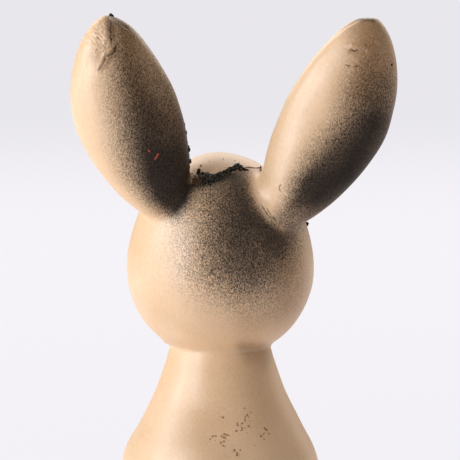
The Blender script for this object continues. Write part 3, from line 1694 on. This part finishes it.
@dataclass
class Arm:
    """A short arm that turns on a round shoulder, flat on the side towards the body."""

    side: Side
    joint: dict
    swing: float = math.radians(6.0)
    length: float = 25.0
    upper_radius: float = 6.8
    paw_radius: float = 6.0
    sweep: float = 0.8
    rows: int = 120
    columns: int = 110
    shoulder_radius: float = 5.6
    shoulder_bevel: float = 0.3
    shoulder_top: float = 4.0
    shoulder_overlap: float = 0.4
    shoulder_columns: int = 80
    lift: float = 1.6
    lift_blend: float = 0.5
    rise: float = 2.2
    gap: float = 0.2
    finger_apart: float = 1.9
    finger_width: float = 0.55
    finger_depth: float = 0.7
    finger_from: Pair = (13.5, 8.5)
    finger_lean: float = 0.1
    finger_lift: float = 1.0
    haze: float = 0.35
    haze_from: Pair = (14.0, 6.0)

    def axes(self) -> tuple[Array, Array]:
        """Works out the frame of the shoulder pocket.

        Returns:
            A point on its floor, and rows down the flank, across it and out of it.
        """
        floor = np.array(self.joint["pos_m"]) / MM
        out = unit(np.array(self.joint["axis"]) * self.side.value)
        down = unit(on_axis(-1.0) + out * out[2])
        return floor, np.array([down, np.cross(out, down), out])

    def limb(self) -> Skin:
        """Shapes the plain limb along +X, whose middle line moves sideways by the square of s.

        Returns:
            The limb's skin.
        """
        s = crowded(0.01, 0.99, self.rows)
        angle = around(self.columns)
        radius = limb_radius(s, self.upper_radius, self.paw_radius)[:, None]
        sweep = -self.sweep * self.side.value
        rings = np.empty((self.rows, self.columns, 3))
        rings[..., 0] = (self.length * s)[:, None]
        rings[..., 1] = (sweep * s**2)[:, None] + radius * np.cos(angle)
        rings[..., 2] = radius * np.sin(angle)
        return Skin(rings, np.zeros(3), np.array([self.length, sweep, 0.0]))

    def skins(self) -> list[Skin]:
        """Shapes the arm with its shoulder, in the frame of the pocket, and carries it there.

        Returns:
            The arm's skin and the shoulder's.
        """
        limb = self.limb()
        points = limb.points() + np.array([-self.upper_radius, 0.0, self.lift + self.rise])
        turn = -self.side.value * self.swing
        x = points[:, 0] * math.cos(turn) - points[:, 1] * math.sin(turn)
        y = points[:, 0] * math.sin(turn) + points[:, 1] * math.cos(turn)
        z = soft_max(points[:, 2], np.full(len(points), self.lift), self.lift_blend)
        fingers = points[:, 2] > self.lift + self.finger_lift
        z = np.where(fingers, z - self.finger_grooves(x, y), z)
        limb = limb.with_points(np.column_stack([x, y, z]))
        bevel, radius = self.shoulder_bevel, self.shoulder_radius
        top = self.lift + self.shoulder_overlap
        shoulder = lathe(
            np.array([radius - bevel, radius, radius, self.shoulder_top]),
            np.array([self.gap, self.gap + bevel, top, self.lift + self.rise]),
            self.shoulder_columns,
        )
        floor, axes = self.axes()
        return [part.with_points(floor + part.points() @ axes) for part in (limb, shoulder)]

    def finger_grooves(self, x: Array, y: Array) -> Array:
        """Shapes the two grooves that part the fingers at the end of the paw, as bells across it.

        Args:
            x: Distances along the arm.
            y: Distances across it.

        Returns:
            The depth of the grooves.
        """
        start, full = (self.length - back for back in self.finger_from)
        across = y + self.finger_lean * self.side.value * x
        grooves = partings(across, self.finger_apart, self.finger_width)
        return self.finger_depth * smooth_step(start, full, x) * grooves

    def build(self) -> None:
        """Makes the arm and dresses it."""
        skins = self.skins()
        points = np.vstack([skin.points() for skin in skins])
        floor, axes = self.axes()
        along = (points - floor) @ axes[0]
        start, full = (self.length - back for back in self.haze_from)
        name = self.side.node("arm")
        make_limb(name, skins, name, self.haze * smooth_step(start, full, along))


@dataclass
class Leg:
    """A sitting leg: a round thigh that turns in the hip pocket, with a long flat-soled foot."""

    side: Side
    hip_x: float = HIP_X
    hip_z: float = HIP_Z
    gap: float = 0.2
    sink: float = 2.6
    thigh_radius: float = 14.2
    thigh_dome: float = 9.0
    plate_blend: float = 0.5
    draft: float = 0.06
    draft_from: Pair = (2.3, 1.0)
    foot_length: float = 46.0
    foot_balls: Span = (0.08, 0.92, 60)
    foot_blend: float = 1.0
    heel_back: float = 9.0
    heel_radius: float = 5.6
    toe_radius: float = 7.6
    toe_out: float = 1.5
    toe_from: Pair = (-24.0, -33.0)
    toe_rise: Pair = (2.0, 6.0)
    toe_at: float = 0.8
    toe_apart: float = 2.6
    toe_width: float = 0.6
    toe_depth: float = 0.9
    foot_x: float = 30.2
    sole_z: float = 0.4
    sole_blend: float = 0.8
    ankle: Place = (34.2, -3.0, 7.0)
    ankle_blend: float = 3.0
    pole_gap: float = 0.006
    rows: int = 220
    columns: int = 260
    haze: float = 0.35
    haze_from: Pair = (-22.0, -36.0)

    def thigh_exit(self, heading: Array, start: Array) -> Array:
        """Works out where rays leave the thigh: its drum, its flat inner side or its domed end.

        Args:
            heading: Unit directions of the rays.
            start: Point where they start.

        Returns:
            The distance along each ray.
        """
        step, flat = heading[..., 0], heading[..., 1:]
        offset = start[1:] - np.array([0.0, self.hip_z])
        spread, lean, rest = (flat**2).sum(-1), flat @ offset, offset @ offset
        inside = lean**2 - spread * (rest - self.thigh_radius**2)
        drum = (-lean + np.sqrt(inside)) / np.maximum(spread, TINY)
        plate = plane_exit(step, self.hip_x + self.gap - start[0])
        rim = self.hip_x + self.sink
        x = start[0] - rim
        a = (step / self.thigh_dome) ** 2 + spread / self.thigh_radius**2
        b = step * x / self.thigh_dome**2 + lean / self.thigh_radius**2
        c = (x / self.thigh_dome) ** 2 + rest / self.thigh_radius**2 - 1.0
        dome = (-b + np.sqrt(np.maximum(b**2 - a * c, 0.0))) / a
        beyond = start[0] + step * dome > rim
        return soft_min(np.where(beyond, dome, drum), plate, self.plate_blend)

    def foot_exit(self, heading: Array, start: Array) -> Array:
        """Works out where rays leave the foot, a row of spheres along its middle line.

        Args:
            heading: Unit directions of the rays.
            start: Point where they start.

        Returns:
            The distance along each ray.
        """
        reach = np.full(heading.shape[:-1], -FAR)
        for s in np.linspace(*self.foot_balls):
            x = self.foot_x + self.heel_radius + self.toe_out * s**2
            middle = np.array([x, self.heel_back - self.foot_length * s, self.heel_radius])
            radius = limb_radius(s, self.heel_radius, self.toe_radius)
            reach = np.maximum(reach, sphere_exit(heading, middle - start, radius))
        side = plane_exit(heading[..., 0], self.foot_x - start[0])
        return soft_min(reach, side, self.foot_blend)

    def skin(self) -> Skin:
        """Shapes the leg.

        From the ankle, each ray goes out to the thigh or to the foot, whichever is further,
        rounded where they meet, and stops at the sole. The toes are parted by grooves, and the
        thigh's inner end is a little smaller, so that it turns freely in its pocket.

        Returns:
            The leg's skin.
        """
        start = np.array(self.ankle)
        tilt = np.linspace(self.pole_gap, 1.0 - self.pole_gap, self.rows)[:, None] * np.pi
        angle = around(self.columns)
        heading = np.empty((self.rows, self.columns, 3))
        heading[..., 0] = -np.cos(tilt)
        heading[..., 1] = np.sin(tilt) * np.cos(angle)
        heading[..., 2] = np.sin(tilt) * np.sin(angle)
        thigh, foot = self.thigh_exit(heading, start), self.foot_exit(heading, start)
        reach = soft_max(thigh, foot, self.ankle_blend)
        sole = plane_exit(heading[..., 2], self.sole_z - start[2])
        reach = soft_min(reach, sole, self.sole_blend)
        rings = start + heading * reach[..., None]
        toe = smooth_step(*self.toe_from, rings[..., 1])
        toe *= smooth_step(*self.toe_rise, rings[..., 2])
        middle = self.foot_x + self.heel_radius + self.toe_out * self.toe_at
        toe *= partings(rings[..., 0] - middle, self.toe_apart, self.toe_width)
        rings -= heading * (self.toe_depth * toe)[..., None]
        hip = np.array([0.0, self.hip_z])
        inner = smooth_step(*(self.hip_x + out for out in self.draft_from), rings[..., 0])
        rings[..., 1:] = hip + (rings[..., 1:] - hip) * (1.0 - self.draft * inner)[..., None]
        return Skin.capped(rings).on_side(self.side)

    def build(self) -> None:
        """Makes the leg and dresses it."""
        skin = self.skin()
        haze = self.haze * smooth_step(*self.haze_from, skin.points()[:, 1])
        name = self.side.node("leg")
        make_limb(name, [skin], name, haze)


@dataclass
class Tail:
    """A round bobtail with shallow tufts, seated on the body."""

    radius: float = 8.6
    middle: Place = (0.0, 31.7, 14.0)
    tuft_turns: float = 4.5
    tuft_slant: float = 1.2
    tuft_power: float = 0.7
    tuft_depth: float = 0.7
    pole_power: float = 1.5
    clearance: float = 0.04
    rows: int = 120
    columns: int = 150
    haze: float = 0.2
    haze_from: Pair = (36.0, 41.0)

    def skin(self, body: BodyShell) -> Skin:
        """Shapes the tail: a sphere with slanting tuft grooves, moved out onto the body inside it.

        Args:
            body: The body in front.

        Returns:
            The tail's skin.
        """
        tilt = np.linspace(0.01, 0.99, self.rows)[:, None] * np.pi
        angle = around(self.columns)
        tuft = np.abs(np.sin(self.tuft_turns * (angle + self.tuft_slant * tilt)))
        groove = (1.0 - tuft**self.tuft_power) * np.sin(tilt) ** self.pole_power
        radius = self.radius - self.tuft_depth * groove
        rings = np.empty((self.rows, self.columns, 3))
        rings[..., 0] = radius * np.sin(tilt) * np.sin(angle)
        rings[..., 1] = -radius * np.cos(tilt)
        rings[..., 2] = radius * np.sin(tilt) * np.cos(angle)
        rings += np.array(self.middle)
        edge = body.radius(rings[..., 2]) + self.clearance
        inside = np.hypot(rings[..., 0], rings[..., 1]) < edge
        flush = np.sqrt(np.maximum(edge**2 - rings[..., 0] ** 2, 0.0))
        rings[..., 1] = np.where(inside, flush, rings[..., 1])
        return Skin.capped(rings)

    def build(self, body: BodyShell) -> None:
        """Makes the tail and dresses it.

        Args:
            body: The body in front.
        """
        skin = self.skin(body)
        haze = self.haze * smooth_step(*self.haze_from, skin.points()[:, 1])
        make_limb("tail", [skin], "body", haze)


# Crust


@dataclass(frozen=True)
class Crumb:
    """A ragged lump of crust, placed as the camera sees the back."""

    spot: Spot
    radius: float
    brown: float = 0.0
    stretch: float = 1.0
    unevenness: float = 0.33
    wave_size: float = 1.1
    waves: int = 9
    rows: int = 12
    columns: int = 16

    def skin(self, place: Array, seed: int) -> Skin:
        """Shapes the lump: a ball whose radius is uneven by a third.

        Args:
            place: Middle of the lump.
            seed: Picks the unevenness.

        Returns:
            The lump's skin.
        """
        tilt = np.linspace(0.06, 0.94, self.rows) * np.pi
        ball = lathe(np.sin(tilt), -np.cos(tilt), self.columns)
        heading = ball.points()
        uneven = 1.0 + self.unevenness * ripple(heading, self.wave_size, seed, self.waves)
        reach = self.radius * uneven[:, None] * np.array([1.0, 1.0, self.stretch])
        return ball.with_points(place + heading * reach)


@dataclass(frozen=True)
class Smear:
    """A ragged band of crust along a line, as the camera sees the back."""

    path: Path
    widths: tuple[float, ...]
    height: float
    rows: int
    columns: int
    edge: tuple[Wave, ...] = ((0.25, 1.9, 11), (0.16, 0.7, 12))
    face: tuple[Wave, ...] = ((0.3, 1.8, 13), (0.25, 0.8, 14))
    slant: float = 0.7
    underside: float = 0.2

    def uneven(self, points: Array, waves: tuple[Wave, ...]) -> Array:
        """One plus the sum of the unevennesses."""
        return 1.0 + sum(height * ripple(points, size, seed) for height, size, seed in waves)

    def skin(self, head: HeadShell) -> Skin:
        """Shapes the band: a lens, higher towards the crown, with an uneven edge.

        Args:
            head: The head below.

        Returns:
            The band's skin.
        """
        corners = np.asarray(self.path)
        knots = np.linspace(0.0, 1.0, len(corners))
        share = np.linspace(0.0, 1.0, self.rows)
        line = np.column_stack([np.interp(share, knots, corners[:, i]) for i in (0, 1)])
        step = unit(np.gradient(line, axis=0))
        across = np.column_stack([step[:, 1], -step[:, 0]])[:, None, :]
        half = 0.5 * np.interp(share, knots, self.widths)[:, None]
        angle = around(self.columns)
        reach = half * np.cos(angle)
        even = line[:, None, :] + across * reach[..., None]
        spots = line[:, None, :] + across * (reach * self.uneven(even, self.edge))[..., None]
        ground = head.behind(spots.reshape(-1, 2))
        lift = np.sin(angle) * np.minimum(half, self.height) * (1.0 + self.slant * np.cos(angle))
        lift = np.where(lift > 0.0, lift, self.underside * lift).reshape(-1)
        lift *= self.uneven(ground, self.face)
        points = ground + head.out(ground) * lift[:, None]
        return Skin.capped(points.reshape(self.rows, self.columns, 3))


@dataclass
class SeamCrust:
    """Old glue and grime along the open seam behind the crown, with crumbs round it."""

    band: Smear = Smear(
        path=tuple(
            zip(
                (8.4, 7.2, 5.7, 4.5, 3.0, 0.7, -1.4, -3.5, -5.3, -7.0, -8.5),
                (119.1, 119.5, 119.7, 119.9, 120.0, 120.4, 121.6, 122.8, 123.6, 122.9, 122.6),
            )
        ),
        widths=(0.6, 2.0, 3.2, 3.5, 3.2, 2.3, 1.9, 1.4, 1.6, 0.7, 0.2),
        height=0.55,
        rows=320,
        columns=44,
    )
    thread: Smear = Smear(
        path=((-6.9, 123.4), (-8.4, 123.6), (-10.2, 123.4), (-12.1, 123.5)),
        widths=(0.16, 0.3, 0.24, 0.36),
        height=0.12,
        rows=110,
        columns=12,
    )
    band_brown: float = 0.8
    band_brown_from: Pair = (3.5, 7.0)
    crumbs: tuple[Crumb, ...] = (
        Crumb((-5.4, 124.5), 0.42),
        Crumb((-4.7, 124.4), 0.36),
        Crumb((-2.6, 123.4), 0.3, 0.8),
        Crumb((5.2, 121.7), 0.46),
        Crumb((4.4, 121.7), 0.32),
        Crumb((5.8, 124.0), 0.3, 0.6),
        Crumb((7.5, 120.9), 0.36, 1.0),
        Crumb((6.6, 119.5), 0.5, 1.0),
        Crumb((5.7, 120.3), 0.4, 0.9),
        Crumb((6.9, 118.6), 0.45, 0.9),
        Crumb((7.8, 119.7), 0.42, 1.0),
        Crumb((6.0, 118.5), 0.4, 0.6),
        Crumb((5.1, 120.9), 0.3, 0.7),
        Crumb((8.2, 118.9), 0.36, 0.9),
        Crumb((7.2, 120.2), 0.45, 1.0),
        Crumb((5.4, 119.3), 0.5, 0.8),
        Crumb((8.3, 121.6), 0.3, 1.0),
        Crumb((-0.9, 126.1), 0.14, 1.0),
        Crumb((3.3, 125.3), 0.13, 1.0),
        Crumb((-4.4, 125.6), 0.12, 1.0),
        Crumb((-12.1, 123.4), 0.26, 0.7, 1.8),
        Crumb((-12.0, 122.7), 0.24, 0.5, 1.6),
        Crumb((-25.8, 106.8), 0.6),
    )
    edge_crumbs: tuple[Crumb, ...] = (
        Crumb((0.5, 168.6), 0.8, 0.2),
        Crumb((0.2, 136.6), 0.3, stretch=1.6),
        Crumb((0.3, 134.0), 0.42, stretch=2.0),
        Crumb((0.3, 131.4), 0.4, stretch=1.5),
        Crumb((0.2, 129.2), 0.6, stretch=1.6),
        Crumb((0.3, 127.3), 0.4, stretch=1.8),
        Crumb((0.2, 125.7), 0.55, stretch=1.5),
        Crumb((0.3, 124.0), 0.42),
        Crumb((0.2, 122.3), 0.6, stretch=1.7),
        Crumb((0.2, 120.2), 0.6, stretch=1.5),
    )
    edge_reach: float = 0.5
    first_seed: int = 40

    def build(self, head: HeadShell, ear: bpy.types.Object) -> None:
        """Makes the crust and dresses it.

        Args:
            head: The head below.
            ear: The left ear, whose inner edge carries crumbs.
        """
        skins = [self.band.skin(head), self.thread.skin(head)]
        left = smooth_step(*self.band_brown_from, skins[0].points()[:, 0])
        brown = [self.band_brown * left, np.ones(len(skins[1].points()))]
        places = list(head.behind(np.array([crumb.spot for crumb in self.crumbs])))
        shell = np.empty(3 * len(ear.data.vertices))
        ear.data.vertices.foreach_get("co", shell)
        shell = shell.reshape(-1, 3) / MM
        level = as_seen(shell)[:, 1]
        for crumb in self.edge_crumbs:
            near = shell[np.abs(level - crumb.spot[1]) < self.edge_reach]
            places.append(near[near[:, 0].argmin()] + np.array([crumb.spot[0], 0.0, 0.0]))
        for number, (crumb, place) in enumerate(zip(self.crumbs + self.edge_crumbs, places)):
            skins.append(crumb.skin(place, self.first_seed + number))
            brown.append(np.full(len(skins[-1].points()), crumb.brown))
        marks = {"brown": np.concatenate(brown)}
        make_piece("seam_crust", skins, "head", (), DriedCrust(), marks)


# Squeaker


@dataclass
class Squeaker:
    """The squeaker in the base: its CAD pieces with their real finishes."""

    cup: MouldedPlastic = MouldedPlastic("moulded_polyethylene", "#EDE8DA", "#E0D8C4", 0.42)
    holder: MouldedPlastic = MouldedPlastic("moulded_polystyrene", "#E6D9B8", "#D9C9A2", 0.3)
    cap: MouldedPlastic = MouldedPlastic("moulded_polystyrene_cap", "#E6D9B8", "#D9C9A2", 0.3)
    reed: RolledBrass = RolledBrass()

    def dress(self) -> None:
        """Puts each finish on its CAD node."""
        finishes = {
            "squeaker_cup": self.cup,
            "squeaker_reed_holder": self.holder,
            "squeaker_cap": self.cap,
            "squeaker_reed": self.reed,
        }
        for node, finish in finishes.items():
            mesh = frame["nodes"][node].data
            mesh.materials.clear()
            mesh.materials.append(finish.material())
            LOG.info("%s: %s", node, finish.name)


# Studio


@dataclass(frozen=True)
class SoftBox:
    """A rectangular lamp, with its place and size in metres and its power in watts."""

    name: str
    place: Place
    size: Pair
    power: float
    colour: str

    def build(self, target: Vector) -> None:
        """Adds the lamp, facing a target and out of the camera's sight.

        Args:
            target: Point to face, in metres.
        """
        light = bpy.data.lights.new(self.name, "AREA")
        light.shape = "RECTANGLE"
        light.size, light.size_y = self.size
        light.energy = self.power
        light.color = linear(self.colour)[:3]
        lamp = add_object(self.name, light)
        lamp.visible_camera = False
        aim(lamp, Vector(self.place), target - Vector(self.place))


def aim(item: bpy.types.Object, place: Vector, heading: Vector) -> None:
    """Puts a lamp or a camera at a place and turns it.

    Args:
        item: The lamp or camera.
        place: Place in metres.
        heading: Direction that it looks in.
    """
    item.location = place
    item.rotation_mode = "QUATERNION"
    item.rotation_quaternion = heading.to_track_quat("-Z", "Y")


@dataclass
class Studio:
    """A pale floor, soft light from the camera's left, and the camera behind the rabbit."""

    target: Place = (-2.9, 0.0, 105.0)
    distance: float = 1600.0
    view_width: float = 138.0
    sensor: float = 36.0
    clip: Pair = (0.05, 60.0)
    backdrop: str = "#F3F2F8"
    fill: str = "#FFEFE6"
    fill_level: float = 0.32
    mirrored_level: float = 0.2
    floor_half: float = 9.0
    floor_roughness: float = 0.9
    shadow_share: float = 0.14
    lamps: tuple[SoftBox, ...] = (
        SoftBox("key_softbox", (0.98, 0.26, 0.39), (1.1, 0.9), 5.2, "#FCFCFE"),
        SoftBox("strip_softbox", (0.77, 0.6, 0.36), (0.26, 0.7), 3.3, "#F6F7FF"),
        SoftBox("side_softbox", (0.876, 0.108, 0.574), (0.18, 0.5), 1.9, "#F6F7FF"),
        SoftBox("backdrop_glow", (0.0, -1.1, 0.85), (1.8, 1.0), 13.0, "#FFF7EE"),
        SoftBox("rim_panel", (-0.75, -0.75, 0.3), (0.5, 0.9), 1.0, "#FFF4E6"),
    )

    def floor(self) -> None:
        """Makes the floor, which shows its own pale colour to the camera and keeps some shadow."""
        half = self.floor_half
        corners = [(-half, -half, 0.0), (half, -half, 0.0), (half, half, 0.0), (-half, half, 0.0)]
        mesh = bpy.data.meshes.new("studio_floor")
        mesh.from_pydata(corners, [], [(0, 1, 2, 3)])
        material, tree, surface = new_material("painted_studio_floor")
        pale = linear(self.backdrop)
        seen = add_node(tree, "LightPath").outputs["Is Camera Ray"]
        share = remap(tree, seen, target=(0.0, 1.0 - self.shadow_share))
        look = {"Base Color": pale, "Roughness": self.floor_roughness}
        paint = add_node(tree, "BsdfPrincipled", look).outputs["BSDF"]
        glow = add_node(tree, "Emission", {"Color": pale}).outputs["Emission"]
        both = add_node(tree, "MixShader", {0: share, 1: paint, 2: glow})
        tree.links.new(both.outputs["Shader"], surface)
        mesh.materials.append(material)
        floor = add_object("studio_floor", mesh)

    def world(self) -> None:
        """Sets a pale world: the backdrop's colour to the camera, and a soft fill to the object.

        The fill is dimmer in reflections, as the room behind the camera is.
        """
        world = bpy.data.worlds.new("studio_world")
        world.use_nodes = True
        tree = world.node_tree
        tree.nodes.clear()
        light = add_node(tree, "LightPath").outputs
        level = remap(tree, light["Is Glossy Ray"], target=(self.fill_level, self.mirrored_level))
        fill, seen = (
            add_node(tree, "Background", {"Color": linear(colour), "Strength": strength})
            for colour, strength in ((self.fill, level), (self.backdrop, 1.0))
        )
        layers = {0: light["Is Camera Ray"], 1: fill.outputs[0], 2: seen.outputs[0]}
        both = add_node(tree, "MixShader", layers)
        add_node(tree, "OutputWorld", {"Surface": both.outputs["Shader"]})
        bpy.context.scene.world = world

    def camera(self) -> None:
        """Adds the camera behind the rabbit, a little above it and far away."""
        lens = bpy.data.cameras.new("photo_camera")
        lens.sensor_width = self.sensor
        lens.lens = self.sensor * self.distance / self.view_width
        lens.clip_start, lens.clip_end = self.clip
        camera = add_object("photo_camera", lens)
        back = Vector((0.0, math.cos(VIEW_TILT), math.sin(VIEW_TILT)))
        aim(camera, (Vector(self.target) + back * self.distance) * MM, -back)
        bpy.context.scene.camera = camera

    def build(self) -> None:
        """Sets up floor, world, lamps and camera."""
        self.floor()
        self.world()
        for lamp in self.lamps:
            lamp.build(Vector(self.target) * MM)
        self.camera()
        bpy.context.scene.view_settings.view_transform = "Standard"


def main() -> None:
    """Builds the pieces in order, dresses the squeaker and sets up the studio."""
    logging.basicConfig(level=logging.INFO, format="%(name)s: %(message)s")
    joints = {joint["name"]: joint for joint in frame["joints"]}
    head = HeadShell()
    body = BodyShell()
    arms = [Arm(side, joints[side.node("arm_swing")]) for side in Side]
    pockets = []
    for arm in arms:
        floor, axes = arm.axes()
        pockets.append((floor, axes[2], body.shoulder_pocket))
    for side in Side:
        floor = np.array([side.value * body.hip_x, 0.0, body.hip_z])
        pockets.append((floor, np.array([float(side.value), 0.0, 0.0]), body.hip_pocket))
    body.build(head, pockets)
    ears = (LEFT_EAR, RIGHT_EAR)
    head.build([ear.seat(head) * ear.side.flip() for ear in ears])
    left_ear, _ = [ear.build(head) for ear in ears]
    SeamCrust().build(head, left_ear)
    for arm in arms:
        arm.build()
    for side in Side:
        Leg(side).build()
    Tail().build(body)
    Squeaker().dress()
    Studio().build()


if __name__ == "__main__":
    main()
